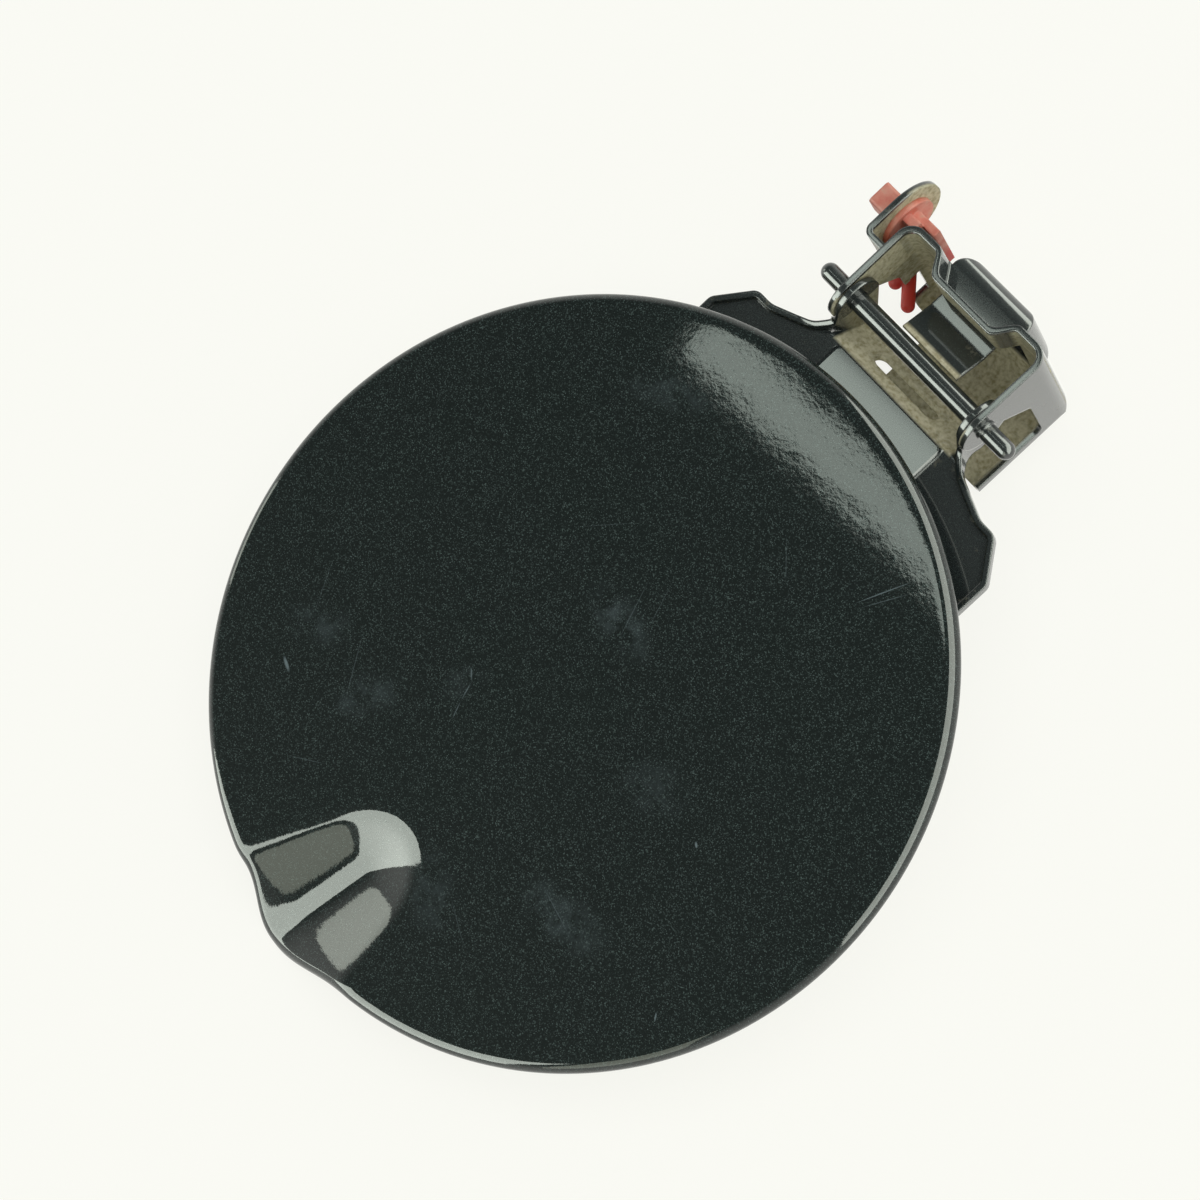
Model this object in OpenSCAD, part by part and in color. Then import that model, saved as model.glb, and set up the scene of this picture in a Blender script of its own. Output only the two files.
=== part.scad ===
// Round steel fuel flap with its hinge: a hemmed two-skin lid with a pressed finger scoop,
// a gooseneck arm under it, a hinge pin, a deep-drawn hinge bracket, a leaf spring and a
// plastic retaining clip. Millimetres. The origin is on the bracket's seat face, on the
// part's plane of symmetry. +Z points out of the car, +Y from the lid to the hinge.

/* [Lid] */
// Diameter of the lid over its hem
lid_d = 178; // [165:1:190]
// Height of the lid's crown over its rolled edge
crown = 2.5; // [1.5:0.1:4]
// Sheet thickness of the outer skin and the inner panel
skin_t = 0.8; // [0.6:0.05:1]
// Outer radius of the rolled edge
rim_roll = 3; // [2.5:0.1:4]
// Outer radius of the folded hem
hem_r = 1.2; // [0.9:0.1:1.6]
// Width of the hem's return flange
hem_w = 8; // [6:0.5:11]
// Depth of the inner panel's dish below the lid's edge
dish_depth = 16; // [14.5:0.5:17]
// Width of the flat ring between the hem and the dish
dish_margin = 12; // [11.5:0.5:15]
// Width of the dish's sloping wall
dish_slope = 9; // [6:0.5:12]

/* [Finger scoop] */
// Distance of the scoop's inner end from the lid's centre
scoop_y = 61; // [57:0.5:64]
// Depth of the scoop at its inner end
scoop_d0 = 4.3; // [3.6:0.1:5]
// Distance of the scoop's inner end to the right of the lid's centre line
scoop_x = 0.6; // [-2:0.2:3]
// Fall of the scoop's floor towards the rim, in degrees
scoop_fall = 11.5; // [9:0.5:13]
// Turn of the scoop away from the lid's centre line, in degrees
scoop_turn = 11.5; // [0:0.5:14]
// Mean slope of the scoop's two flanks, in degrees
scoop_flank = 29; // [26:0.5:31]
// Roll of the scoop about its floor, which makes the left flank the steeper one, in degrees
scoop_roll = 4.5; // [0:0.5:6]
// Radius along the scoop's floor
scoop_r = 8; // [6:0.5:10]
// How far the scoop's lip stands out past the rim
lip_out = 6.5; // [2:0.5:7]
// Radius of the lip's edge, seen from above
lip_r = 29; // [26:1:34]
// Distance of the lip's middle to the left of the lid's centre line
lip_x = 4; // [0:0.5:6]

/* [Hinge] */
// Distance from the lid's centre to the hinge pin
lid_to_pin = 105; // [102:1:112]
// Depth of the hinge pin's axis below the lid's edge
pin_drop = 9.5; // [8:0.5:11]
// Diameter of the hinge pin
pin_d = 5; // [4:0.25:6]
// Length of the hinge pin over its domed ends
pin_l = 63.6; // [58:0.5:72]
// Depth by which the pin's two ends are turned down, so that they pass the bracket's eyes
pin_relief = 0.25; // [0.2:0.05:0.4]
// Radial running clearance of the pin in the arm
pin_clear = 0.05; // [0.02:0.01:0.1]
// Gap between the arm's cheeks and the bracket's walls
side_gap = 0.3; // [0.3:0.05:0.8]

/* [Hinge arm] */
// Sheet thickness of the arm
arm_t = 1.5; // [1.2:0.1:1.8]
// Length of the arm's plate under the lid, measured from its ears
plate_len = 70; // [60:1:80]
// Half width of the arm's plate at its ears
ear_x = 48; // [42:1:52]
// Distance from the hinge pin back to the ears' front edge
ear_back = 14.4; // [12:0.2:17]
// Length of an ear along its outer side
ear_len = 18; // [14:1:22]
// Bevel across the corner of an ear
ear_bevel = 7; // [5:0.5:9]
// Radius of the curves between the ears and the cheeks
ear_fillet = 7; // [4:0.5:9]
// Height of the turned-up flange round the arm's edge
flange_h = 1.6; // [1:0.1:2.5]
// Half width of the raised pad on the arm's neck
pad_x = 18; // [14:0.5:20]
// Height of the raised pad on the arm's neck
pad_h = 0.5; // [0.3:0.1:0.8]
// Distance from the hinge pin back to the bend between neck and web
bend_back = 9; // [8.2:0.2:10]
// Drop of the web below the neck
web_drop = 6; // [5:0.25:7]
// Length of the slot in the web
slot_l = 21; // [14:1:26]
// Width of the slot in the web
slot_w = 4.4; // [3:0.2:5]
// Radius of the arm's cheeks around the pin
cheek_r = 6; // [5:0.25:6.5]

/* [Bracket] */
// Width of the bracket over its side walls
box_w = 46; // [42:1:50]
// Sheet thickness of the bracket
box_t = 1.5; // [1.2:0.1:1.8]
// Depth of the bracket's top edge below the lid's edge
rim_drop = 3; // [2:0.5:4]
// Height of the bracket from its seat to its top edge
box_h = 44; // [40:1:50]
// Distance from the hinge pin to the outer wall's outside
pin_to_wall = 21; // [19:0.5:24]
// Length of the seat from the outer wall to its free edge
seat_l = 30; // [26:1:34]
// Radius of the bracket's upright corners
corner_r = 4.5; // [3:0.5:6]
// Radius of the bend between the outer wall and the seat
heel_r = 10; // [7:0.5:12]
// Radius of the bends between the side walls and the seat
foot_r = 5; // [3:0.5:6]
// Depth of the notch pressed into the top edge of the outer wall
notch_d = 4.8; // [3:0.2:6]
// Height of the notch
notch_h = 10; // [8:0.5:12]
// Flat width of the notch
notch_w = 16; // [12:1:18]
// Width of each curved flank of the notch
notch_s = 5.5; // [5:0.5:7]
// Width of the bulge below the notch
bulge_w = 24; // [20:1:28]
// How far the bulge stands out from the outer wall
bulge_out = 5; // [3:0.5:6]
// Height of the strip left below the side windows
strip_h = 7; // [6:0.5:9]
// Distance of the side windows' far edge from the outer wall's outside
window_edge = 9.7; // [8:0.5:12]
// Radius of the side windows' corners
window_r = 2; // [1:0.25:2.5]
// Height of the extra opening for the clip's prongs in the left side wall
prong_gap_h = 13; // [11:0.5:14]

/* [Spring] */
// Width of the leaf spring
spring_w = 18.2; // [14:0.5:20]
// Thickness of the leaf spring
spring_t = 0.8; // [0.6:0.1:1]
// Upward slope of the spring's free leg, in degrees
spring_rise = 18; // [12:1:22]
// Length of the spring's free leg
spring_leg = 8; // [6:0.5:8.5]
// Distance of the spring's bend from the outer wall's outside
spring_bend = 10; // [9:0.5:11]
// Radius of the spring's bend
spring_r = 3; // [1.5:0.5:4]

/* [Clip] */
// Radius of the rounded tab that carries the clip
tab_r = 10.5; // [9:0.5:12]
// Distance of the tab's inner face from the bracket's side wall
tab_gap = 6; // [5.5:0.5:8]
// Radius of the bend between the tab and the strip that carries it
tab_bend = 2.4; // [2:0.1:2.4]
// Height of the clip's axis above the seat
clip_z = 30; // [28:0.5:32]
// Radius of the clip's shank
clip_r = 3.1; // [2.6:0.1:3.6]
// Radial clearance of the clip's shank in the tab
clip_clear = 0.1; // [0.05:0.01:0.2]
// Radius of the clip's washer
washer_r = 7; // [6:0.25:7]
// Thickness of the clip's washer
washer_t = 1.5; // [1.2:0.1:2]
// Length of the clip's head outside the tab
head_l = 7; // [5:0.5:8]
// Radius of the clip's two prongs
prong_r = 1.7; // [1.3:0.1:1.9]
// Depth of the prongs below the clip's axis
prong_drop = 14; // [13:0.5:15]
// Length of the straight prong
prong_l = 13; // [11:0.5:15]
// Length of the prong that reaches in through the side wall
hook_l = 9; // [7:0.5:10]

/* [Hidden] */
$fn = 96;
eps = 0.01;
far = 60;

// Places, from the seat upwards and from the outer wall inwards
lid_r = lid_d / 2;
pin_r = pin_d / 2;
edge_z = box_h + rim_drop;
pin_z = edge_z - pin_drop;
wall_y = 17;
pin_y = wall_y - pin_to_wall;
lid_y = pin_y - lid_to_pin;
wall_x = box_w / 2;
cheek_x = wall_x - box_t - side_gap;
plate_z = edge_z - dish_depth;
seam = 0.2;

// The lid's sections, with the lid's centre at x = 0 and its edge at y = 0
roll_x = lid_r - rim_roll;
dome_r = (roll_x * roll_x + crown * crown) / (2 * crown);
hem_z = -rim_roll - hem_r;

module dome_disc(inset) {
    translate([0, crown - dome_r])
    circle(dome_r - inset, $fn = 1440);
}

// Everything inside the skin's outer face, or inside its inner face with inset = skin_t
module lid_section(inset) {
    intersection() {
        translate([0, hem_z + inset])
        square([lid_r, crown - hem_z]);
        dome_disc(inset);
        union() {
            translate([0, hem_z - 1])
            square([roll_x, far]);
            translate([roll_x, -rim_roll])
            circle(rim_roll - inset);
            translate([0, hem_z + hem_r])
            square([lid_r - inset, rim_roll - hem_r - inset]);
            translate([0, hem_z + inset])
            square([lid_r - hem_r, rim_roll]);
            translate([lid_r - hem_r, hem_z + hem_r])
            circle(hem_r - inset);
        }
    }
}

// Cross-section of the scoop, open upwards: two flanks that run into a round floor just inside their tangent points
module scoop_section(grow) {
    r = scoop_r + grow;
    px = (r - eps) * sin(scoop_flank);
    pz = scoop_r - (r - eps) * cos(scoop_flank);
    top = far * 0.6;
    translate([0, scoop_r])
    circle(r);
    polygon([
        [-px, pz],
        [px, pz],
        [px + top, pz + top * tan(scoop_flank)],
        [-px - top, pz + top * tan(scoop_flank)]
    ]);
}

// The space of the scoop, grown by a sheet thickness where the sheet follows it
module scoop_space(grow) {
    translate([scoop_x, -scoop_y, -scoop_d0])
    rotate([0, 0, -scoop_turn])
    rotate([scoop_fall, 0, 0])
    rotate([0, scoop_roll, 0]) {
        rotate([90, 0, 0])
        linear_extrude(far)
        scoop_section(grow);
        rotate_extrude(angle = 180)
        intersection() {
            scoop_section(grow);
            translate([0, -far])
            square([far, 2 * far]);
        }
    }
}

module lid_skin() {
    color("#141a1b")
    translate([0, lid_y, edge_z]) {
        difference() {
            rotate_extrude($fn = 360)
            difference() {
                lid_section(0);
                lid_section(skin_t);
                translate([-eps, hem_z - eps])
                square([lid_r - hem_w, skin_t + 2 * eps]);
            }
            scoop_space(0);
        }
        intersection() {
            difference() {
                scoop_space(skin_t);
                scoop_space(0);
            }
            translate([-lip_x, lip_r - lid_r - lip_out, -far])
            cylinder(r = lip_r, h = far + crown);
            union() {
                rotate_extrude($fn = 360)
                intersection() {
                    translate([0, -far])
                    square([lid_r - eps, 2 * far]);
                    dome_disc(0);
                }
                translate([-far, -lid_r - far, -far])
                cube([2 * far, far + 15, far - rim_roll]);
            }
        }
    }
}

module lid_inner_panel() {
    top = hem_z + 2 * skin_t;
    r1 = lid_r - dish_margin;
    r0 = r1 - dish_slope;
    color("#1b2122")
    translate([0, lid_y, edge_z])
    difference() {
        rotate_extrude($fn = 180)
        polygon([
            [0, -dish_depth],
            [r0, -dish_depth],
            [r1, top - skin_t],
            [lid_r - 2 * skin_t, top - skin_t],
            [lid_r - 2 * skin_t, top],
            [r1 - skin_t, top],
            [r0 - skin_t, skin_t - dish_depth],
            [0, skin_t - dish_depth]
        ]);
        scoop_space(skin_t + 0.3);
    }
}

// Plan of the arm: two ears, a plate under the lid, and a neck that narrows to the cheeks
module arm_outline() {
    ear_r = 3;
    neck_y = pin_y - ear_back * 0.72;
    offset(r = -ear_fillet)
    offset(delta = ear_fillet) {
        hull()
        for (s = [-1, 1]) {
            translate([s * (ear_x - ear_r - ear_bevel * 0.8), pin_y - ear_back - ear_r])
            circle(ear_r, $fn = 32);
            translate([s * (ear_x - ear_r), pin_y - ear_back - ear_r - ear_bevel])
            circle(ear_r, $fn = 32);
            translate([s * (ear_x - ear_r), pin_y - ear_back - ear_r - ear_len])
            circle(ear_r, $fn = 32);
            translate([s * ear_x * 0.55, pin_y - ear_back - plate_len])
            circle(2 * ear_r, $fn = 32);
        }
        polygon([
            [-ear_x * 0.75, pin_y - ear_back - eps],
            [ear_x * 0.75, pin_y - ear_back - eps],
            [cheek_x * 1.2, neck_y],
            [cheek_x, pin_y - cheek_r],
            [cheek_x, far],
            [-cheek_x, far],
            [-cheek_x, pin_y - cheek_r],
            [-cheek_x * 1.2, neck_y]
        ]);
    }
}

// Side view of the web that runs from the plate under the pin
module web_section() {
    foot = web_drop * 1.1 - bend_back;
    polygon([
        [pin_y - bend_back - 4, plate_z],
        [pin_y - bend_back, plate_z],
        [pin_y + foot, plate_z - web_drop],
        [pin_y + cheek_r / 3, plate_z - web_drop],
        [pin_y + cheek_r / 3, plate_z - web_drop - arm_t],
        [pin_y + foot - arm_t / 2, plate_z - web_drop - arm_t],
        [pin_y - bend_back - arm_t / 2, plate_z - arm_t],
        [pin_y - bend_back - 4, plate_z - arm_t]
    ]);
}

// Side view of the arm's turned-up edge: low round the ears, and rising to carry the pin
module edge_section() {
    foot = web_drop * 1.1 - bend_back;
    translate([pin_y, pin_z])
    circle(cheek_r);
    polygon([
        [-3 * far, plate_z - arm_t],
        [-3 * far, plate_z + flange_h],
        [pin_y - bend_back - 3, plate_z + flange_h],
        [pin_y - bend_back * 0.8, plate_z + 2.2 * flange_h],
        [pin_y - cheek_r * 0.9, pin_z + cheek_r * 0.44],
        [pin_y + cheek_r * 0.96, pin_z - cheek_r * 0.28],
        [pin_y + cheek_r / 3, plate_z - web_drop - arm_t],
        [pin_y + foot - arm_t / 2, plate_z - web_drop - arm_t],
        [pin_y - bend_back - arm_t / 2, plate_z - arm_t]
    ]);
}

// Turns a side view, drawn with y across and z up, into a solid that is w wide
module across(w) {
    rotate([90, 0, 90])
    linear_extrude(w, center = true)
    children();
}

module hinge_arm() {
    color("#1a2021")
    difference() {
        union() {
            translate([0, 0, plate_z - arm_t])
            linear_extrude(arm_t)
            intersection() {
                arm_outline();
                translate([-far, -3 * far])
                square([2 * far, 3 * far + pin_y - bend_back]);
            }
            across(2 * cheek_x)
            web_section();
            difference() {
                intersection() {
                    linear_extrude(far)
                    difference() {
                        arm_outline();
                        offset(delta = -arm_t)
                        arm_outline();
                    }
                    across(4 * far)
                    edge_section();
                }
                translate([0, lid_y, plate_z])
                cylinder(r = lid_r - dish_margin - dish_slope + 2, h = far);
            }
            translate([0, 0, plate_z - arm_t / 2])
            linear_extrude(arm_t / 2 + pad_h)
            intersection() {
                translate([-pad_x, pin_y - bend_back - 22])
                square([2 * pad_x, 22]);
                translate([0, pin_y - bend_back - 22])
                offset(3)
                square([2 * pad_x - 6, 38], center = true);
            }
        }
        translate([0, pin_y, pin_z])
        rotate([0, 90, 0]) {
            cylinder(r = pin_r + pin_clear, h = 2 * far, center = true);
            for (s = [-1, 1])
                translate([0, 0, s * (cheek_x + far / 2)])
                cylinder(r = box_h - pin_z + side_gap, h = far, center = true);
        }
        translate([0, pin_y - bend_back / 2, plate_z - web_drop / 2])
        rotate([-45, 0, 0])
        linear_extrude(4 * arm_t, center = true) {
            square([slot_l - slot_w, slot_w], center = true);
            for (s = [-1, 1])
                translate([s * (slot_l - slot_w) / 2, 0])
                circle(slot_w / 2);
        }
    }
}

// Half of a round bar's section, with a domed end at each side
module bar_section(r, l) {
    intersection() {
        union() {
            translate([-r, r - l / 2])
            square([2 * r, l - 2 * r]);
            for (s = [-1, 1])
                translate([0, s * (l / 2 - r)])
                circle(r);
        }
        translate([0, -far])
        square([far, 2 * far]);
    }
}

module hinge_pin() {
    color("#23292a")
    translate([0, pin_y, pin_z])
    rotate([0, 90, 0]) {
        rotate_extrude()
        bar_section(pin_r - pin_relief, pin_l);
        cylinder(r = pin_r, h = 2 * wall_x + 1, center = true);
    }
}

// A block open towards -y and upwards, with its bends rounded; inset shrinks it by a sheet
module box_form(inset) {
    x = wall_x - inset;
    y = wall_y - inset;
    intersection() {
        translate([0, 0, -eps])
        linear_extrude(far + 20) {
            translate([-x, -far])
            square([2 * x, far + y - corner_r + inset]);
            translate([-x + corner_r - inset, -far])
            square([2 * (x - corner_r + inset), far + y]);
            for (s = [-1, 1])
                translate([s * (x - corner_r + inset), y - corner_r + inset])
                circle(corner_r - inset);
        }
        across(box_w) {
            translate([-far, inset])
            square([far + y - heel_r + inset, far]);
            translate([-far, heel_r])
            square([far + y, far]);
            translate([y - heel_r + inset, heel_r])
            circle(heel_r - inset);
        }
        rotate([90, 0, 0])
        linear_extrude(3 * far, center = true) {
            translate([-x, foot_r])
            square([2 * x, far]);
            translate([-x + foot_r - inset, inset])
            square([2 * (x - foot_r + inset), far]);
            for (s = [-1, 1])
                translate([s * (x - foot_r + inset), foot_r])
                circle(foot_r - inset);
        }
    }
}

// Depth and slope of the notch at a place across the wall
function notch_t(x) = max(0, min(1, (abs(x) - notch_w / 2) / notch_s));
function notch_y(x) = notch_d * (1 + cos(180 * notch_t(x))) / 2;
function notch_slope(x) = notch_d * sin(180 * notch_t(x)) * PI / (2 * notch_s);

// The space outside the notched stretch of the outer wall
module notch_space(inset) {
    half = notch_w / 2 + notch_s;
    steps = 40;
    translate([0, 0, box_h - notch_h - inset])
    linear_extrude(far)
    polygon(concat(
        [[-half, wall_y + far]],
        [for (i = [0:steps]) let (x = -half + 2 * half * i / steps)
            [x, wall_y - notch_y(x) - inset * sqrt(1 + pow(notch_slope(x), 2))]],
        [[half, wall_y + far]]
    ));
}

module bulge_form(inset) {
    r = corner_r - inset;
    x = bulge_w / 2 - inset;
    y = wall_y + bulge_out - inset;
    top = box_h - notch_h - inset;
    low = strip_h + inset;
    intersection() {
        linear_extrude(far) {
            translate([-x, 0])
            square([2 * x, y - r]);
            translate([-x + r, 0])
            square([2 * (x - r), y]);
            for (s = [-1, 1])
                translate([s * (x - r), y - r])
                circle(r);
        }
        across(box_w) {
            translate([0, low])
            square([y - r, top - low]);
            translate([0, low + r])
            square([y, top - low - 2 * r]);
            for (z = [low + r, top - r])
                translate([y - r, z])
                circle(r);
        }
    }
}

// Side view of what is cut from both side walls, around the pin's eyes
module window_section() {
    eye = box_h - pin_z;
    difference() {
        offset(r = window_r)
        offset(delta = -window_r)
        polygon([
            [pin_y, 2 * far],
            [-far, 2 * far],
            [-far, strip_h],
            [wall_y - window_edge, strip_h],
            [wall_y - window_edge, pin_z - 1.8 * eye],
            [pin_y + 0.6 * eye, pin_z - 0.6 * eye],
            [pin_y, pin_z - 0.6 * eye]
        ]);
        translate([pin_y, pin_z])
        circle(eye);
    }
}

// The rounded tab and the strip that carries it, in the plan and in the side view
module tab() {
    x0 = wall_x + tab_gap + box_t;
    y0 = wall_y - washer_r - tab_bend - seam;
    intersection() {
        linear_extrude(far) {
            translate([-x0, y0 + tab_bend])
            square([box_t, far]);
            translate([-x0 + tab_bend, y0])
            square([x0 - tab_bend - wall_x + box_t, box_t]);
            intersection() {
                translate([-x0, y0])
                square(tab_bend);
                translate([-x0 + tab_bend, y0 + tab_bend])
                difference() {
                    circle(tab_bend);
                    circle(tab_bend - box_t);
                }
            }
        }
        across(4 * box_w) {
            translate([wall_y, clip_z])
            circle(tab_r);
            translate([y0, clip_z - tab_r])
            square([wall_y - y0, 2 * tab_r]);
        }
    }
}

module hinge_bracket() {
    gap_x = wall_x - box_t - 1.3 * foot_r;
    color("#171d1e")
    difference() {
        union() {
            difference() {
                union() {
                    difference() {
                        box_form(0);
                        notch_space(0);
                    }
                    bulge_form(0);
                }
                difference() {
                    box_form(box_t);
                    notch_space(box_t);
                }
                bulge_form(box_t);
                translate([-far, -far, box_h])
                cube([2 * far, 2 * far, 2 * far]);
                translate([-far, -3 * far + wall_y - seat_l, -far])
                cube([2 * far, 3 * far, 3 * far]);
                across(box_w + 1)
                window_section();
                translate([-far, wall_y - seat_l - 1, -1])
                cube([far - gap_x, seat_l - window_edge + 1, strip_h + 2]);
                translate([-far, 0, strip_h])
                cube([far - gap_x, wall_y - foot_r, prong_gap_h]);
            }
            tab();
        }
        translate([0, pin_y, pin_z])
        rotate([0, 90, 0])
        cylinder(r = pin_r, h = box_w + 1, center = true);
        translate([-wall_x - tab_gap - box_t - 1, wall_y, clip_z])
        rotate([0, 90, 0])
        cylinder(r = clip_r + clip_clear, h = box_t + 2);
    }
}

module leaf_spring() {
    top = box_h - notch_h - box_t;
    root_y = wall_y - box_t + seam;
    bend_y = wall_y - spring_bend;
    tip_y = bend_y - spring_leg * cos(spring_rise);
    tip_z = top + spring_leg * sin(spring_rise);
    color("#15191a")
    across(spring_w)
    offset(r = -spring_r)
    offset(delta = spring_r)
    polygon([
        [root_y, top],
        [bend_y, top],
        [tip_y, tip_z],
        [tip_y - spring_t * sin(spring_rise), tip_z - spring_t * cos(spring_rise)],
        [bend_y, top - spring_t],
        [root_y, top - spring_t]
    ]);
}

module retaining_clip() {
    face = -wall_x - tab_gap;
    prong_z = clip_z - prong_drop;
    prong_x = -wall_x - prong_r - 0.3;
    strap_t = 2;
    strap_w = 7.5;
    strap_y = wall_y + 1.4;
    head_w = 2 * clip_r;
    color("#c8372e") {
        translate([face - box_t - 1, wall_y, clip_z])
        rotate([0, 90, 0])
        cylinder(r = clip_r, h = box_t + 2);
        translate([face, wall_y, clip_z])
        rotate([0, 90, 0])
        cylinder(r = washer_r, h = washer_t);
        translate([face - box_t - head_l, wall_y, clip_z])
        rotate([0, 90, 0])
        linear_extrude(head_l)
        offset(1)
        square([1.3 * head_w - 2, head_w - 2], center = true);
        translate([face - box_t - head_l / 3, wall_y - head_w / 2, clip_z - head_w])
        cube([head_l / 3, head_w, head_w]);
        translate([face + washer_t - eps, wall_y - 1, clip_z - washer_r * 0.8])
        cube([strap_w / 2, strap_y - wall_y + 1 + eps, 1.6 * washer_r]);
        translate([face + washer_t - eps, strap_y, prong_z - prong_r])
        difference() {
            cube([strap_w, strap_t, prong_drop + prong_r + washer_r / 2]);
            translate([strap_w / 2, -1, prong_drop / 2])
            rotate([-90, 0, 0])
            cylinder(r = strap_w / 4, h = strap_t + 2);
        }
        translate([prong_x, strap_y + strap_t / 2, prong_z])
        rotate([90, 0, 0])
        rotate_extrude()
        finger_section(prong_l);
        translate([prong_x, strap_y - prong_l * 0.57, prong_z])
        rotate([0, 0, 45])
        rotate([90, 0, 0])
        rotate_extrude()
        finger_section(hook_l);
    }
}

// Half section of a prong, flat at its root and domed at its tip
module finger_section(l) {
    square([prong_r, l]);
    intersection() {
        translate([0, l])
        circle(prong_r);
        square([prong_r, 2 * l]);
    }
}

lid_skin();
lid_inner_panel();
hinge_arm();
hinge_pin();
hinge_bracket();
leaf_spring();
retaining_clip();
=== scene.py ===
# %% [markdown]
# # Round steel fuel flap
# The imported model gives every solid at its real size, in metres. This script dresses it: the lid is remade
# as a smooth pressing, the bracket and the arm get rounded sheet edges, and each surface gets its real
# finish.

# %% Load the frame
import math

import bmesh
import bpy
from mathutils import Matrix, Vector


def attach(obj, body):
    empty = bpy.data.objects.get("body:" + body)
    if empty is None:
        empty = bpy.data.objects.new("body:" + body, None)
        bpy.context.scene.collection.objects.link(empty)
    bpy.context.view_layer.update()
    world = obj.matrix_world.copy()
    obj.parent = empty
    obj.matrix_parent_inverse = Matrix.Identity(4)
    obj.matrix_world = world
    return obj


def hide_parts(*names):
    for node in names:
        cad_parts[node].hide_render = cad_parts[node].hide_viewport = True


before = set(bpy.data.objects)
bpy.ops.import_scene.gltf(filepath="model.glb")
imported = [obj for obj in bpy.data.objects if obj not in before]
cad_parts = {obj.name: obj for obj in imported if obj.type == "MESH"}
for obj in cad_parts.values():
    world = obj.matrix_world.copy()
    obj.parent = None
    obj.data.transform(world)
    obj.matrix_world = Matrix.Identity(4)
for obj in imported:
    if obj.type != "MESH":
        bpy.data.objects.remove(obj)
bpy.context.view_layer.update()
MM = 0.001

# %% [markdown]
# ## Camera
# The photo looks down on the lid, about 21 degrees off its normal and from the side of the right pin end,
# with the hinge at the upper right. The place comes from a fit of the rim, the pin ends and the ears; the
# camera is then turned about its own axis until the pin lies as in the photo. A long lens keeps the lid
# nearly round.

# %% Place the camera
CAMERA_AT = Vector((0.1932, -0.0378, 0.5939))
CAMERA_AIM = Vector((-0.0066, -0.0924, 0.047))
CAMERA_RIGHT = Vector((0.621, 0.7244, -0.2993))
# Half the photo's width and the fitted focal length, both in its pixels
HALF_FRAME_PX = 600
FOCAL_PX = 2600

camera_data = bpy.data.cameras.new("camera")
camera = bpy.data.objects.new("camera", camera_data)
bpy.context.collection.objects.link(camera)
back = (CAMERA_AT - CAMERA_AIM).normalized()
right = (CAMERA_RIGHT - back * CAMERA_RIGHT.dot(back)).normalized()
up = back.cross(right)
camera.matrix_world = Matrix((right, up, back)).transposed().to_4x4()
camera.location = CAMERA_AT
camera_data.sensor_fit = "HORIZONTAL"
camera_data.angle = 2 * math.atan(HALF_FRAME_PX / FOCAL_PX)
camera_data.clip_start = 0.01
bpy.context.scene.camera = camera
print("camera", round((CAMERA_AT - CAMERA_AIM).length, 3), "m away")


# %% [markdown]
# ## Helpers
# One function turns an sRGB hex colour into the linear colour that the shaders work in. Another adds a node
# with its settings and links, so that a material reads as a short list.

# %% Colour and node helpers
def linear(hex_colour):
    """sRGB hex to a linear colour with alpha."""
    values = [int(hex_colour[i:i + 2], 16) / 255 for i in (1, 3, 5)]
    return [v / 12.92 if v <= 0.04045 else ((v + 0.055) / 1.055) ** 2.4 for v in values] + [1.0]


def add(tree, kind, settings=None, **inputs):
    """Adds one node; a tuple (node, output) links, any other value sets the input."""
    node = tree.nodes.new(kind)
    for name, value in (settings or {}).items():
        setattr(node, name, value)
    for name, value in inputs.items():
        key = int(name[1:]) if name[0] == "_" else name.replace("_", " ")
        socket = node.inputs[key]
        if isinstance(value, tuple) and len(value) == 2 and hasattr(value[0], "outputs"):
            tree.links.new(value[0].outputs[value[1]], socket)
        else:
            socket.default_value = value
    return node


def new_material(name):
    """A material with an empty tree, an Object coordinate node and a Principled shader on its output."""
    material = bpy.data.materials.new(name)
    material.use_nodes = True
    tree = material.node_tree
    tree.nodes.clear()
    place = add(tree, "ShaderNodeTexCoord")
    shader = add(tree, "ShaderNodeBsdfPrincipled")
    add(tree, "ShaderNodeOutputMaterial", Surface=(shader, "BSDF"))
    return material, tree, place, shader


def set_ramp(node, stops):
    """Puts (position, colour) stops on a colour ramp."""
    ramp = node.color_ramp
    while len(ramp.elements) > len(stops):
        ramp.elements.remove(ramp.elements[-1])
    while len(ramp.elements) < len(stops):
        ramp.elements.new(0.5)
    for element, (position, colour) in zip(ramp.elements, stops):
        element.position = position
        element.color = colour
    return node


print("white is", linear("#ffffff"))

# %% [markdown]
# ## Black metallic paint
# The lid is steel with a dark base coat full of aluminium flakes, under a clear coat. The base looks almost
# black with a green-blue tint; the flakes flash one by one as fine grains; the clear coat gives sharp
# reflections. Flakes are 0.02 to 0.05 mm in reality, far too fine to show here, so they are drawn about 0.2
# mm wide. Wear is on the clear coat: fine scratches, a few longer ones, and a soft haze where dust and
# polish have dried.

# %% Paint material
FLAKE_MM = 0.22
# Width and height of the paint's slow waves and of its fine orange peel, and the size of a smear's patches
WAVE_MM, WAVE_HIGH_MM = 13.3, 0.05
PEEL_MM, PEEL_HIGH_MM = 1.1, 0.005
HAZE_MM = 5.9
LID_CENTRE = (0.0, -0.109, 0.047)
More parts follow.
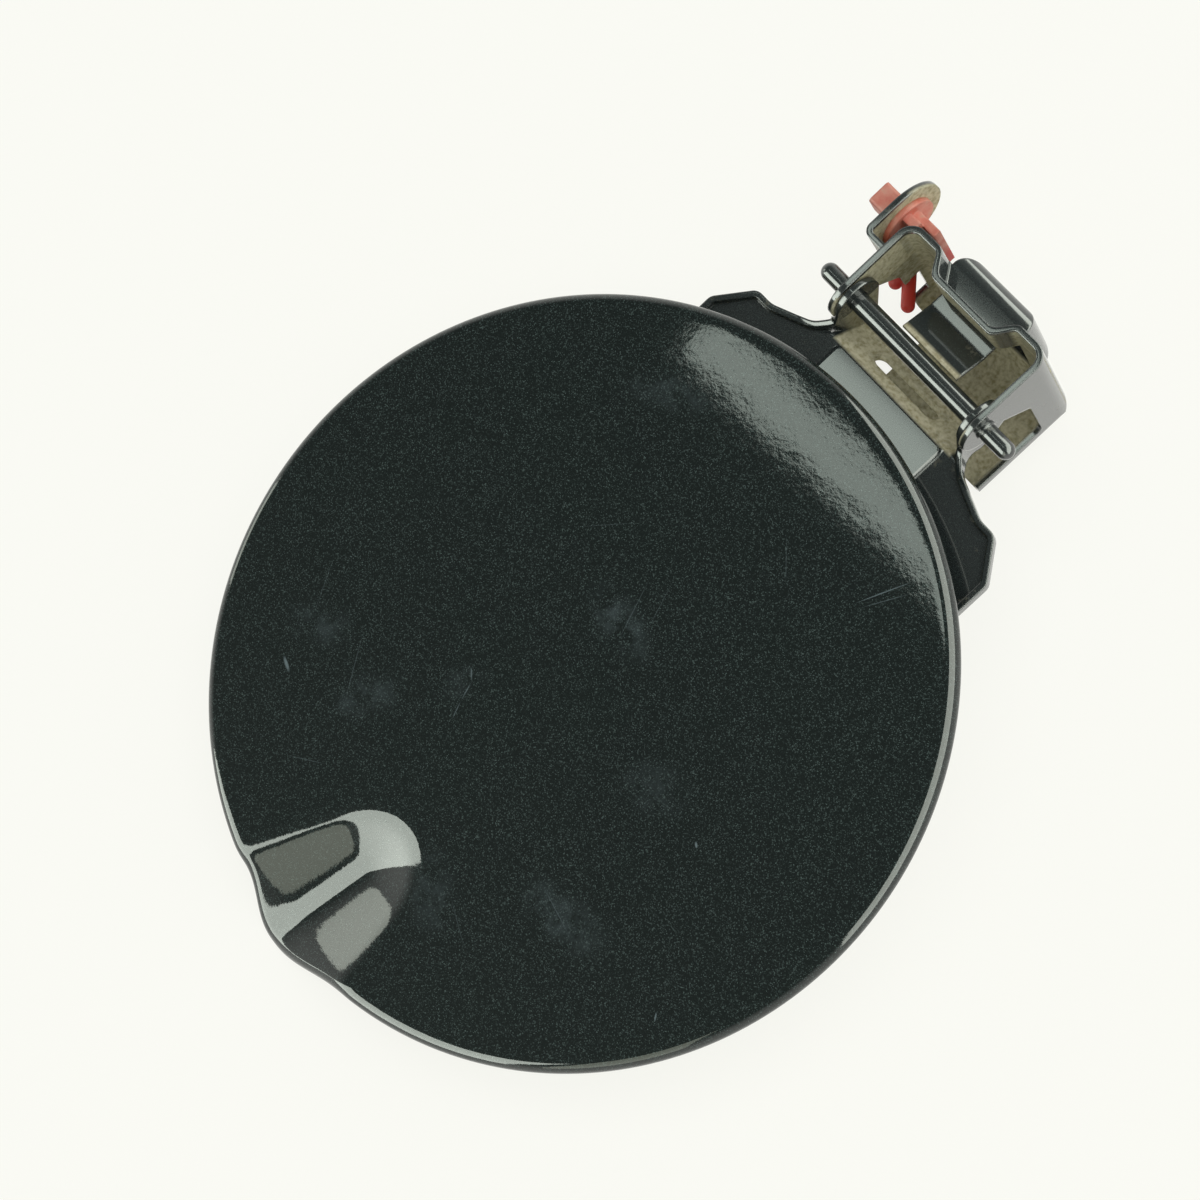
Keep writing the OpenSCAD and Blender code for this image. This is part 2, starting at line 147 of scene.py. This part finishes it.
# Wear on the lid: start and end in mm from its centre, width in mm and strength
MARKS = [
    ((-50.2, -47.3), (-45.8, -48.9), 1.1, 0.75),
    ((-15.5, -15.0), (-12.6, -17.4), 0.5, 0.52),
    ((-12.6, -17.4), (-11.2, -21.8), 0.4, 0.45),
    ((-11.2, -21.8), (-9.2, -26.6), 0.4, 0.38),
    ((34.4, 57.0), (40.2, 71.0), 0.35, 0.60),
    ((36.0, 57.5), (42.0, 69.0), 0.25, 0.38),
    ((49.8, -2.4), (51.3, -3.3), 0.8, 0.75),
    ((71.4, -33.2), (72.9, -35.2), 0.5, 0.68),
    ((33.0, -34.5), (47.0, -37.5), 0.3, 0.24),
    ((-41.0, -28.0), (-30.0, -44.0), 0.3, 0.21),
    ((-2.0, 30.0), (5.0, 12.0), 0.3, 0.21),
    ((2.0, 34.0), (8.0, 18.0), 0.25, 0.18),
    ((-24.0, 22.0), (-12.0, 36.0), 0.25, 0.15),
    ((-60.0, -22.0), (-52.0, -36.0), 0.25, 0.18),
    ((12.0, 58.0), (22.0, 49.0), 0.25, 0.18),
    ((-32.0, -62.0), (-22.0, -55.0), 0.3, 0.21),
    ((20.0, -52.0), (33.0, -58.0), 0.3, 0.18),
]
# Dried smears: centre and half size in mm, turn in degrees, strength
SMEARS = [
    ((1.0, 17.0), (14.0, 6.5), -10, 0.32),
    ((42.0, -36.0), (16.0, 8.0), 10, 0.26),
    ((35.0, -2.0), (11.0, 8.0), 30, 0.18),
    ((16.0, -55.0), (14.0, 9.0), -20, 0.20),
    ((-30.0, 60.0), (16.0, 6.0), 30, 0.18),
    ((-28.0, -38.0), (15.0, 7.0), 60, 0.19),
    ((-49.0, -36.0), (12.0, 7.0), 35, 0.19),
    ((-14.0, -19.0), (9.0, 5.0), 70, 0.17),
]


def blob(tree, place, centre, half, turn, inner):
    """A value that is 1 inside an ellipse of the lid and falls to 0 at its edge; sizes in mm."""
    mapping = add(tree, "ShaderNodeMapping", {"vector_type": "TEXTURE"}, Vector=(place, "Object"),
                  Location=(centre[0] * MM + LID_CENTRE[0], centre[1] * MM + LID_CENTRE[1], LID_CENTRE[2]),
                  Rotation=(0, 0, turn), Scale=(half[0] * MM, half[1] * MM, 12 * MM))
    distance = add(tree, "ShaderNodeVectorMath", {"operation": "LENGTH"}, _0=(mapping, "Vector"))
    return add(tree, "ShaderNodeMapRange", {"interpolation_type": "SMOOTHSTEP"},
               Value=(distance, "Value"), From_Min=1.0, From_Max=inner)


def paint_tree(name, base_hex, flake_hex):
    """Flake paint: one cell in a few shows a bright flake."""
    material, tree, place, shader = new_material(name)
    cells = add(tree, "ShaderNodeTexVoronoi", {"feature": "F1"}, Vector=(place, "Object"),
                Scale=1 / (FLAKE_MM * MM), Randomness=1.0)
    split = add(tree, "ShaderNodeSeparateColor", Color=(cells, "Color"))
    bright = add(tree, "ShaderNodeMapRange", Value=(split, "Red"), From_Min=0.4, From_Max=1.0)
    sparkle = add(tree, "ShaderNodeMath", {"operation": "POWER"}, _0=(bright, "Result"), _1=5.0)
    tone = add(tree, "ShaderNodeMix", {"data_type": "RGBA"}, _0=(sparkle, "Value"),
               _6=linear(base_hex), _7=linear(flake_hex))
    return material, tree, place, shader, tone


def lid_paint():
    """Gloss metallic paint with its marks and smears; its base is dull, so only the clear coat mirrors."""
    material, tree, place, shader, tone = paint_tree("lid_metallic_clearcoat_paint", "#0b1615", "#4c5b58")
    wear = 0.0
    for start, end, width, strength in MARKS:
        centre = ((start[0] + end[0]) / 2, (start[1] + end[1]) / 2)
        half = (math.hypot(end[0] - start[0], end[1] - start[1]) / 2, width / 2)
        line = blob(tree, place, centre, half, math.atan2(end[1] - start[1], end[0] - start[0]), 0.35)
        wear = (add(tree, "ShaderNodeMath", {"operation": "MULTIPLY_ADD"},
                    _0=(line, 0), _1=strength, _2=wear), 0)
    cloud = add(tree, "ShaderNodeTexNoise", Vector=(place, "Object"), Scale=1 / (HAZE_MM * MM), Detail=7.0,
                Roughness=0.7)
    patches = add(tree, "ShaderNodeMapRange", Value=(cloud, "Fac"), From_Min=0.42, From_Max=0.72)
    film = 0.0
    for centre, half, turn, strength in SMEARS:
        patch = blob(tree, place, centre, half, math.radians(turn), 0.1)
        film = (add(tree, "ShaderNodeMath", {"operation": "MULTIPLY_ADD"},
                    _0=(patch, 0), _1=strength, _2=film), 0)
    smear = add(tree, "ShaderNodeMath", {"operation": "MULTIPLY"}, _0=film, _1=(patches, "Result"))
    total = add(tree, "ShaderNodeMath", {"operation": "ADD", "use_clamp": True}, _0=(smear, 0), _1=wear)
    worn = add(tree, "ShaderNodeMix", {"data_type": "RGBA"}, _0=(total, 0),
               _6=(tone, 2), _7=linear("#76868a"))
    tree.links.new(worn.outputs[2], shader.inputs["Base Color"])
    shader.inputs["Roughness"].default_value = 0.55
    shader.inputs["Specular IOR Level"].default_value = 0.05
    shader.inputs["Coat Weight"].default_value = 1.0
    shader.inputs["Coat Roughness"].default_value = 0.04
    shader.inputs["Coat IOR"].default_value = 1.6
    waves = add(tree, "ShaderNodeTexNoise", Vector=(place, "Object"), Scale=1 / (WAVE_MM * MM), Detail=7.0,
                Roughness=0.62)
    rolling = add(tree, "ShaderNodeBump", Height=(waves, "Fac"), Distance=WAVE_HIGH_MM * MM, Strength=1.0)
    peel = add(tree, "ShaderNodeTexNoise", Vector=(place, "Object"), Scale=1 / (PEEL_MM * MM), Detail=2.0)
    skin = add(tree, "ShaderNodeBump", Height=(peel, "Fac"), Distance=PEEL_HIGH_MM * MM, Strength=1.0,
               Normal=(rolling, "Normal"))
    tree.links.new(skin.outputs["Normal"], shader.inputs["Coat Normal"])
    return material


LID_PAINT = lid_paint()
print("made", LID_PAINT.name)

# %% [markdown]
# ## The lid's outer pressing
# A real skin is drawn in one stroke: a shallow dome whose edge rolls down, a hem folded round the inner
# panel, and a scoop pressed in at one side whose lip runs out past the rim. The whole sheet follows the
# scoop, the hem too. So the mesh is one closed section turned round the centre, and one smooth field then
# lowers every point that lies in the scoop. A subdivided boolean would leave pinched edges there; a field
# keeps the reflections clean.

# %% Sizes of the lid
# All in metres: radii over the hem, of the rolled edge and of the fold, the hem's width, the sheet's thickness
LID_R = 0.089
ROLL_R = 0.003
HEM_R = 0.0012
HEM_W = 0.008
SKIN_T = 0.0008
CROWN = 0.0025
EDGE_Z = LID_CENTRE[2]
# The scoop: where its round end sits, its depth there, its fall, flank slope, side roll and floor radius
SCOOP_AT = (-0.0002, -0.0649)
SCOOP_TURN = math.radians(11.5)
SCOOP_D0 = 0.0051
SCOOP_FALL = math.tan(math.radians(11.5))
SCOOP_FLANK = 0.552
SCOOP_ROLL = 0.096
SCOOP_FLOOR = 0.0036
SCOOP_END = 0.725
LIP_OUT = 0.0067
LIP_LEFT = 0.0165
LIP_RIGHT = 0.024
EDGE_BLEND = 0.0016
# The lip is pushed out over a ring of the lid that starts at this radius and has this width
LIP_FROM = 0.066
LIP_OVER = 0.02
# Mesh steps: rings of the dome, steps of the rolled edge, of the hem's flat and of the inner roll
RINGS = 64
ROLL_STEPS = 8
HEM_STEPS = 4
INNER_STEPS = 6
# Degrees between the rings' points across the scoop and elsewhere, and how far the fine steps reach
FINE_STEP = 0.5
WIDE_STEP = 1.5
FINE_REACH = 30
DOME_R = ((LID_R - ROLL_R) ** 2 + CROWN ** 2) / (2 * CROWN)
print("lid radius", LID_R, "m, dome radius", round(DOME_R, 3), "m")


def dome_z(radius):
    """Height of the dome over its edge at a distance from the centre."""
    return CROWN - (DOME_R - math.sqrt(DOME_R ** 2 - radius ** 2))


def scoop_axes(x, y):
    """A place of the lid seen along and across the scoop, whose axis is turned from the hinge's."""
    dx, dy = x - SCOOP_AT[0], y - SCOOP_AT[1]
    along = -dx * math.sin(SCOOP_TURN) - dy * math.cos(SCOOP_TURN)
    across = dx * math.cos(SCOOP_TURN) - dy * math.sin(SCOOP_TURN)
    return along, across


def scoop_z(x, y):
    """Height of the scoop's surface: a rounded V that falls towards the rim, with a round inner end."""
    along, across = scoop_axes(x, y)
    away = abs(across) if along > 0 else math.hypot(across, SCOOP_END * along)
    root = math.sqrt(away * away + SCOOP_FLOOR ** 2) - SCOOP_FLOOR
    return -SCOOP_D0 - SCOOP_FALL * along + SCOOP_FLANK * root - SCOOP_ROLL * across


def soft_min(a, b, k):
    """The smaller of two heights, blended smoothly where they are closer than k."""
    h = max(k - abs(a - b), 0) / k
    return min(a, b) - h * h * k / 4


def scoop_drop(x, y):
    """How far the sheet is pressed down at a place of the lid."""
    radius = min(math.hypot(x, y), LID_R)
    top = dome_z(min(radius, LID_R - ROLL_R))
    return top - soft_min(top, scoop_z(x, y), EDGE_BLEND)


def lip_push(x, y):
    """How far the rim is pushed outwards before the scoop: one smooth bump, a little steeper on the left."""
    radius = math.hypot(x, y)
    if radius < LIP_FROM or y > 0:
        return 0.0
    near = min(1.0, (radius - LIP_FROM) / LIP_OVER)
    across = scoop_axes(x, y)[1]
    reach = LIP_RIGHT if across > 0 else LIP_LEFT
    bump = math.cos(math.pi / 2 * min(1.0, abs(across) / reach)) ** 2
    return LIP_OUT * near * near * (3 - 2 * near) * bump


def lid_section():
    """The closed section of the skin as (radius, height) pairs, from the centre outwards and back inside."""
    roll_x = LID_R - ROLL_R
    hem_x = LID_R - HEM_R
    hem_z = -ROLL_R
    points = []
    for i in range(1, RINGS + 1):
        radius = roll_x * i / RINGS
        points.append((radius, dome_z(radius)))
    for i in range(1, ROLL_STEPS + 1):
        turn = math.radians(90 - 90 * i / ROLL_STEPS)
        points.append((roll_x + ROLL_R * math.cos(turn), -ROLL_R + ROLL_R * math.sin(turn)))
    for i in range(1, ROLL_STEPS + 1):
        turn = math.radians(-90 * i / ROLL_STEPS)
        points.append((hem_x + HEM_R * math.cos(turn), hem_z + HEM_R * math.sin(turn)))
    low = hem_z - HEM_R
    for i in range(1, HEM_STEPS + 1):
        points.append((hem_x - (HEM_W - HEM_R) * i / HEM_STEPS, low))
    for i in range(HEM_STEPS, -1, -1):
        points.append((hem_x - (HEM_W - HEM_R) * i / HEM_STEPS, low + SKIN_T))
    inner_roll = ROLL_R - SKIN_T
    for i in range(0, INNER_STEPS + 1):
        turn = math.radians(90 * i / INNER_STEPS)
        points.append((roll_x + inner_roll * math.cos(turn), -ROLL_R + inner_roll * math.sin(turn)))
    for i in range(RINGS - 1, 0, -1):
        radius = roll_x * i / RINGS
        points.append((radius, dome_z(radius) - SKIN_T))
    return points


# %% [markdown]
# The section is turned round the centre in half-degree steps across the scoop and in wider ones elsewhere,
# and each point is pressed to its place as it is made. So the mesh is closed, and its faces all point
# outwards.

# %% Build the lid's skin
def ring_angles():
    """Angles of the rings' points, closer together across the scoop."""
    angles = []
    turn = 0.0
    while turn < 360 - 1e-6:
        angles.append(math.radians(turn - 90))
        away = min(turn, 360 - turn)
        turn += FINE_STEP if away < FINE_REACH else WIDE_STEP
    return angles


def press(x, y, z):
    """Moves a place of the plain lid to where the scoop and its lip leave it, in the part's own frame."""
    push = lip_push(x, y)
    x, y = x - push * math.sin(SCOOP_TURN), y - push * math.cos(SCOOP_TURN)
    return x, y + LID_CENTRE[1], z - scoop_drop(x, y) + EDGE_Z


def build_lid_skin():
    """The skin as one closed mesh: the section turned round the centre, every point pressed as it is made."""
    section = lid_section()
    angles = ring_angles()
    mesh = bmesh.new()
    top = mesh.verts.new(press(0, 0, CROWN))
    under = mesh.verts.new(press(0, 0, CROWN - SKIN_T))
    rows = []
    for radius, height in section:
        rows.append([mesh.verts.new(press(radius * math.cos(a), radius * math.sin(a), height))
                     for a in angles])
    count = len(angles)
    for j in range(count):
        k = (j + 1) % count
        mesh.faces.new((top, rows[0][j], rows[0][k]))
        mesh.faces.new((under, rows[-1][k], rows[-1][j]))
        for inner, outer in zip(rows, rows[1:]):
            mesh.faces.new((inner[j], outer[j], outer[k], inner[k]))
    bmesh.ops.recalc_face_normals(mesh, faces=mesh.faces)
    data = bpy.data.meshes.new("lid_pressing")
    mesh.to_mesh(data)
    mesh.free()
    for face in data.polygons:
        face.use_smooth = True
    skin = bpy.data.objects.new("lid_pressing", data)
    bpy.context.collection.objects.link(skin)
    return skin


lid_skin = build_lid_skin()
lid_skin.data.materials.append(LID_PAINT)
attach(lid_skin, "lid")
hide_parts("lid_skin")
print("lid skin", len(lid_skin.data.polygons), "faces")

# %% [markdown]
# ## Finish of the hinge
# The arm, the pin, the bracket and the spring carry the same black paint, but road dust has settled on
# every surface that faces the weather: the inside of the bracket and the web are a dry olive grey, while
# the outside still shines. Dust shows as a rough film that hides the clear coat, so one mask drives colour,
# roughness and the clear coat's weight.

# %% Dusty paint material
# Size of the dust's patches and of its grains, and the radius that paint gives a sheet's edge
DUST_PATCH_MM = 4.5
DUST_GRAIN_MM = 1.1
PAINTED_EDGE_MM = 0.7
# Boxes whose inside has gathered dust, as two corners in mm
DUST_BOXES = {
    "hinge_bracket": [((-22.1, -14.0, 0.5), (22.1, 16.1, 33.2)), ((-22.1, -14.0, 31.0), (22.1, 11.6, 43.2)),
                      ((-22.1, -14.0, 31.0), (-11.8, 16.1, 43.2)), ((11.8, -14.0, 31.0), (22.1, 16.1, 43.2)),
                      ((-29.9, 7.0, 19.0), (-23.2, 28.0, 40.0))],
    "hinge_arm": [((-20.2, -13.8, 20.0), (20.2, 3.0, 36.0))],
    "hinge_pin": [((-21.0, -8.0, 30.0), (21.0, -4.2, 37.0))],
    "leaf_spring": [((-9.5, -1.5, 30.0), (9.5, 1.0, 36.0))],
    "lid_inner_panel": [((-90.0, -200.0, 28.0), (90.0, -20.0, 43.0))],
}


# The raised pad on the arm's neck is slightly crowned, so it mirrors another part of the ceiling
PAD_BOX = ((-18.0, -40.0, 30.0), (18.0, -13.2, 33.0))
PAD_SLOPE = 0.037


def inside_box(tree, place, low, high, soft=0.0008):
    """A value that is 1 inside a box given by two corners in mm."""
    centre = [(a + b) / 2 * MM for a, b in zip(low, high)]
    half = [(b - a) / 2 * MM for a, b in zip(low, high)]
    moved = add(tree, "ShaderNodeVectorMath", {"operation": "SUBTRACT"}, _0=(place, "Object"), _1=centre)
    size = add(tree, "ShaderNodeVectorMath", {"operation": "ABSOLUTE"}, _0=(moved, "Vector"))
    over = add(tree, "ShaderNodeVectorMath", {"operation": "SUBTRACT"}, _0=(size, "Vector"), _1=half)
    parts = add(tree, "ShaderNodeSeparateXYZ", Vector=(over, "Vector"))
    side = add(tree, "ShaderNodeMath", {"operation": "MAXIMUM"}, _0=(parts, "X"), _1=(parts, "Y"))
    far = add(tree, "ShaderNodeMath", {"operation": "MAXIMUM"}, _0=(side, 0), _1=(parts, "Z"))
    return add(tree, "ShaderNodeMapRange", Value=(far, 0), From_Min=0.0, From_Max=-soft)


def dusty_paint(node):
    """Black gloss paint whose sheet edges are rounded by the paint, with dust inside the node's dust boxes."""
    material, tree, place, shader, tone = paint_tree(node + "_dusty_gloss_paint", "#1a2122", "#2f3a38")
    reach = 0.0
    for low, high in DUST_BOXES[node]:
        inside = inside_box(tree, place, low, high)
        reach = (add(tree, "ShaderNodeMath", {"operation": "ADD"}, _0=(inside, 0), _1=reach), 0)
    cloud = add(tree, "ShaderNodeTexNoise", Vector=(place, "Object"), Scale=1 / (DUST_PATCH_MM * MM),
                Detail=9.0, Roughness=0.68)
    broad = add(tree, "ShaderNodeMapRange", Value=(cloud, "Fac"), From_Min=0.25, From_Max=0.45, To_Min=0.6)
    inner = add(tree, "ShaderNodeMath", {"operation": "MULTIPLY", "use_clamp": True},
                _0=reach, _1=(broad, "Result"))
    specks = add(tree, "ShaderNodeMapRange", Value=(cloud, "Fac"), From_Min=0.62, From_Max=0.78, To_Max=0.35)
    film = add(tree, "ShaderNodeMath", {"operation": "MAXIMUM", "use_clamp": True},
               _0=(inner, 0), _1=(specks, "Result"))
    grain = add(tree, "ShaderNodeTexNoise", Vector=(place, "Object"),
                Scale=1 / (DUST_GRAIN_MM * MM), Detail=6.0)
    soil = set_ramp(add(tree, "ShaderNodeValToRGB", Fac=(grain, "Fac")),
                    [(0.3, linear("#a39b78")), (0.55, linear("#cdc8aa")), (0.75, linear("#dcd7bf"))])
    dusted = add(tree, "ShaderNodeMix", {"data_type": "RGBA"}, _0=(film, 0),
                 _6=(tone, 2), _7=(soil, "Color"))
    tree.links.new(dusted.outputs[2], shader.inputs["Base Color"])
    # Where the film is thick, the base is rough and the clear coat is gone from sight
    rough = add(tree, "ShaderNodeMapRange", Value=(film, 0), To_Min=0.45, To_Max=0.9)
    tree.links.new(rough.outputs["Result"], shader.inputs["Roughness"])
    coat = add(tree, "ShaderNodeMapRange", Value=(film, 0), From_Max=0.8, To_Min=1.0, To_Max=0.03)
    tree.links.new(coat.outputs["Result"], shader.inputs["Coat Weight"])
    shader.inputs["Specular IOR Level"].default_value = 0.2
    shader.inputs["Coat Roughness"].default_value = 0.06
    shader.inputs["Coat IOR"].default_value = 1.8
    edge = add(tree, "ShaderNodeBevel", {"samples": 8}, Radius=PAINTED_EDGE_MM * MM)
    lumps = add(tree, "ShaderNodeBump", Height=(grain, "Fac"), Distance=0.02 * MM, Strength=0.6,
                Normal=(edge, "Normal"))
    tree.links.new(lumps.outputs["Normal"], shader.inputs["Normal"])
    # Only the arm has the crowned pad
    coat_normal = edge
    if node == "hinge_arm":
        parts = add(tree, "ShaderNodeSeparateXYZ", Vector=(place, "Object"))
        fall = add(tree, "ShaderNodeMath", {"operation": "MULTIPLY"}, _0=(parts, "Y"), _1=-PAD_SLOPE)
        pad = inside_box(tree, place, *PAD_BOX)
        pad_height = add(tree, "ShaderNodeMath", {"operation": "MULTIPLY"}, _0=(fall, 0), _1=(pad, "Result"))
        coat_normal = add(tree, "ShaderNodeBump", Height=(pad_height, 0), Distance=1.0, Strength=1.0,
                          Normal=(edge, "Normal"))
    tree.links.new(coat_normal.outputs["Normal"], shader.inputs["Coat Normal"])
    return material


def dress(node, material):
    """Puts a material on a CAD node in place of its own."""
    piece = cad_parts[node]
    piece.data.materials.clear()
    piece.data.materials.append(material)


for node in DUST_BOXES:
    dress(node, dusty_paint(node))
print("hinge nodes painted")

# %% [markdown]
# ## Red clip
# The clip is moulded nylon, dyed red, and dust sits on it. Its colour is drawn paler and pinker, in patches,
# above a given height, and full red on its lowest part and its prongs.

# %% Clip material
# Size of the pale patches, the heights over which the red turns pale, and the moulded edges' radius
PALE_PATCH_MM = 2.9
RED_BELOW_MM, PALE_ABOVE_MM = 19, 25
MOULDED_EDGE_MM = 0.9


def clip_plastic():
    """Red nylon, drawn paler and pinker in patches above a given height: all but its lowest part."""
    material, tree, place, shader = new_material("clip_moulded_nylon")
    parts = add(tree, "ShaderNodeSeparateXYZ", Vector=(place, "Object"))
    # The colour goes from full red below to a paler pink above, set by height alone
    upper_share = add(tree, "ShaderNodeMapRange", {"interpolation_type": "SMOOTHSTEP"}, Value=(parts, "Z"),
                  From_Min=RED_BELOW_MM * MM, From_Max=PALE_ABOVE_MM * MM)
    cloud = add(tree, "ShaderNodeTexNoise", Vector=(place, "Object"), Scale=1 / (PALE_PATCH_MM * MM), Detail=6.0)
    pale_tone = set_ramp(add(tree, "ShaderNodeValToRGB", Fac=(cloud, "Fac")),
                     [(0.35, linear("#cf6c58")), (0.6, linear("#d98d79")), (0.8, linear("#c9a58c"))])
    tone = add(tree, "ShaderNodeMix", {"data_type": "RGBA"}, _0=(upper_share, "Result"),
               _6=linear("#d23a2e"), _7=(pale_tone, "Color"))
    tree.links.new(tone.outputs[2], shader.inputs["Base Color"])
    shader.inputs["Roughness"].default_value = 0.5
    edge = add(tree, "ShaderNodeBevel", {"samples": 8}, Radius=MOULDED_EDGE_MM * MM)
    lumps = add(tree, "ShaderNodeBump", Height=(cloud, "Fac"), Distance=0.03 * MM, Strength=0.5,
                Normal=(edge, "Normal"))
    tree.links.new(lumps.outputs["Normal"], shader.inputs["Normal"])
    return material


dress("retaining_clip", clip_plastic())
print("clip finished")

# %% [markdown]
# ## Floor
# The part lies on a white floor as it would come to rest: on the scoop's lip and on the free edge of the
# bracket's floor. So the floor is a disc through those places, tilted against the part's own frame. It
# looks nearly white to the camera and in reflections, and it still takes the part's soft shadow.

# %% Floor
FLOOR_FRONT = Vector((0, -0.203, 0.0335))
FLOOR_BACK = Vector((0, -0.013, -0.0003))
FLOOR_R = 1.2
FLOOR_SIDES = 96
# How much of the floor's look is plain white; the rest is paper that takes the shadow
FLOOR_WHITE = 0.85


def build_floor():
    """A tilted disc of dull white paper."""
    slope = (FLOOR_BACK - FLOOR_FRONT).normalized()
    centre = (FLOOR_BACK + FLOOR_FRONT) / 2
    side = Vector((1, 0, 0))
    mesh = bmesh.new()
    ring = [mesh.verts.new(centre + FLOOR_R * (side * math.cos(a) + slope * math.sin(a)))
            for a in (2 * math.pi * i / FLOOR_SIDES for i in range(FLOOR_SIDES))]
    mesh.faces.new(ring)
    data = bpy.data.meshes.new("floor")
    mesh.to_mesh(data)
    mesh.free()
    floor = bpy.data.objects.new("floor", data)
    bpy.context.collection.objects.link(floor)
    material, tree, place, shader = new_material("floor_white_paper")
    shader.inputs["Base Color"].default_value = linear("#f4f5ee")
    shader.inputs["Roughness"].default_value = 0.9
    white = add(tree, "ShaderNodeEmission", Color=linear("#fffff9"), Strength=1.0)
    ray = add(tree, "ShaderNodeLightPath")
    glossy = add(tree, "ShaderNodeMath", {"operation": "MAXIMUM"},
                 _0=(ray, "Is Glossy Ray"), _1=(ray, "Is Transmission Ray"))
    seen = add(tree, "ShaderNodeMath", {"operation": "MAXIMUM"}, _0=(ray, "Is Camera Ray"), _1=(glossy, 0))
    share = add(tree, "ShaderNodeMath", {"operation": "MULTIPLY"}, _0=(seen, 0), _1=FLOOR_WHITE)
    shown = add(tree, "ShaderNodeMixShader", Fac=(share, 0), _1=(shader, "BSDF"), _2=(white, "Emission"))
    tree.links.new(shown.outputs[0], tree.nodes["Material Output"].inputs["Surface"])
    data.materials.append(material)
    return floor


build_floor()
print("floor disc of radius", FLOOR_R, "m")

# %% [markdown]
# ## Surroundings
# What a gloss paint shows is mostly its surroundings. These are white near the floor, as in a light tent,
# and dark overhead, so that the lid's flat top stays black. The sky is a ramp over the height that a ray
# looks towards.

# %% World
world = bpy.data.worlds.new("studio")
bpy.context.scene.world = world
world.use_nodes = True
sky = world.node_tree
sky.nodes.clear()
towards = add(sky, "ShaderNodeTexCoord")
height = add(sky, "ShaderNodeSeparateXYZ", Vector=(towards, "Generated"))
shade = set_ramp(add(sky, "ShaderNodeValToRGB", Fac=(height, "Z")),
                 [(0.0, (0.95, 0.96, 0.9, 1)), (0.3, (0.7, 0.71, 0.67, 1)),
                  (0.62, (0.11, 0.12, 0.11, 1))])
sky_shader = add(sky, "ShaderNodeBackground", Color=(shade, "Color"), Strength=1.0)
add(sky, "ShaderNodeOutputWorld", Surface=(sky_shader, "Background"))
print("sky ramp with", len(shade.color_ramp.elements), "stops")

# %% [markdown]
# ## Windows and lamps
# Each pale shape in the paint is the mirror image of a window or a lamp. A flank of the scoop mirrors one
# window, so the window's edges give that shape its outline: its place was found by mirroring the camera's
# ray in the flank. These panes are seen by shiny surfaces only. One wide lamp overhead, which the paint
# doesn't mirror, lights dull surfaces at a plain level.

# %% Soft boxes
def area_lamp(name, at, turn, width, tall, radiance):
    """A rectangular lamp; radiance is how bright it looks, whatever its size."""
    lamp = bpy.data.lights.new(name, "AREA")
    lamp.shape = "RECTANGLE"
    lamp.size = width
    lamp.size_y = tall
    lamp.energy = radiance * math.pi * width * tall
    box = bpy.data.objects.new(name, lamp)
    bpy.context.collection.objects.link(box)
    box.location = at
    box.rotation_euler = turn
    return box


def window(name, azimuth, half_angle, low, high, radiance, tint):
    """An upright pane, seen from the scoop between two elevations; only shiny surfaces show it."""
    turn = math.radians(azimuth)
    outward = Vector((math.cos(turn), math.sin(turn), 0))
    bottom, top = (WINDOW_FAR * math.tan(math.radians(angle)) for angle in (low, high))
    pane = area_lamp(name, SCOOP_SEEN + outward * WINDOW_FAR + Vector((0, 0, (bottom + top) / 2)),
                     outward.to_track_quat("Z", "Y").to_euler(),
                     2 * WINDOW_FAR * math.tan(math.radians(half_angle)), top - bottom, radiance)
    pane.data.color = tint
    pane.visible_diffuse = False
    pane.visible_camera = False
    return pane


# The place in the scoop from which the windows' azimuths and elevations are counted, in degrees
SCOOP_SEEN = Vector((0.0, -0.18, 0.042))
WINDOW_FAR = 1.5
window("window_wide", -101, 33.5, 11, 57, 6.4, (0.92, 1.0, 0.9))
window("window_left", -47.5, 13.5, 12, 50, 1.8, (0.93, 1.0, 0.82))
window("window_right", -160, 6, 10, 33, 3.1, (0.93, 1.0, 0.87))
window("window_back", 55, 55, 12, 62, 4.6, (0.94, 1.0, 0.89))
strip = area_lamp("ceiling_strip", (-0.29, 0.077, 1.0), (0, 0, math.radians(3)), 0.42, 0.05, 3.4)
strip.data.color = (0.88, 1.0, 0.9)
strip.visible_diffuse = False
strip.visible_camera = False
fill = area_lamp("room_fill", (0.3, 0.5, 2.2), (0, 0, 0), 3.0, 3.0, 1.45)
fill.rotation_euler = Vector(fill.location).to_track_quat("Z", "Y").to_euler()
fill.visible_glossy = False
fill.visible_camera = False

bpy.context.scene.view_settings.view_transform = "Standard"
